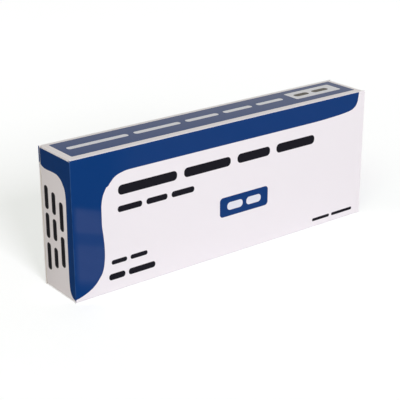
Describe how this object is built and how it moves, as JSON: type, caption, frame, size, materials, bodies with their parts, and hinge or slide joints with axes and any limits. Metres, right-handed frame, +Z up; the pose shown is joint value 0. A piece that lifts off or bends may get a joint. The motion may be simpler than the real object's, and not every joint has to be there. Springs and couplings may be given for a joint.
{
  "type": "tablet carton",
  "caption": "Flat rectangular tuck-end carton with a hinged lid at each end, holding blister strips of round tablets and a folded leaflet.",
  "frame": {"origin": "middle of the bottom panel's outside, on the surface the carton stands on", "axes": "+X along the carton towards its right end, +Y through it towards the back panel, +Z up"},
  "size_m": [0.12, 0.018, 0.046],
  "materials": {
    "board": "gloss-coated white board, printed with dark blue fields",
    "film": "clear thermoformed film",
    "foil": "satin push-through foil",
    "tablet": "smooth film-coated tablet",
    "paper": "thin uncoated paper"
  },
  "bodies": {
    "carton": {"carton": "board", "front_blister_film": "film", "rear_blister_film": "film", "front_blister_foil": "foil", "rear_blister_foil": "foil", "front_tablet_01": "tablet", "front_tablet_02": "tablet", "front_tablet_03": "tablet", "front_tablet_04": "tablet", "front_tablet_05": "tablet", "front_tablet_06": "tablet", "front_tablet_07": "tablet", "front_tablet_08": "tablet", "front_tablet_09": "tablet", "front_tablet_10": "tablet", "front_tablet_11": "tablet", "front_tablet_12": "tablet", "front_tablet_13": "tablet", "front_tablet_14": "tablet", "rear_tablet_01": "tablet", "rear_tablet_02": "tablet", "rear_tablet_03": "tablet", "rear_tablet_04": "tablet", "rear_tablet_05": "tablet", "rear_tablet_06": "tablet", "rear_tablet_07": "tablet", "rear_tablet_08": "tablet", "rear_tablet_09": "tablet", "rear_tablet_10": "tablet", "rear_tablet_11": "tablet", "rear_tablet_12": "tablet", "rear_tablet_13": "tablet", "rear_tablet_14": "tablet", "leaflet": "paper"},
    "left_lid": {"left_tuck_lid": "board"},
    "right_lid": {"right_tuck_lid": "board"}
  },
  "joints": [
    {"name": "left_lid_hinge", "type": "hinge", "parent": "carton", "child": "left_lid", "pos_m": [-0.06, -0.009, 0.023], "axis": [0, 0, 1], "range_deg": [0, 135]},
    {"name": "right_lid_hinge", "type": "hinge", "parent": "carton", "child": "right_lid", "pos_m": [0.06, -0.009, 0.023], "axis": [0, 0, -1], "range_deg": [0, 135]}
  ]
}
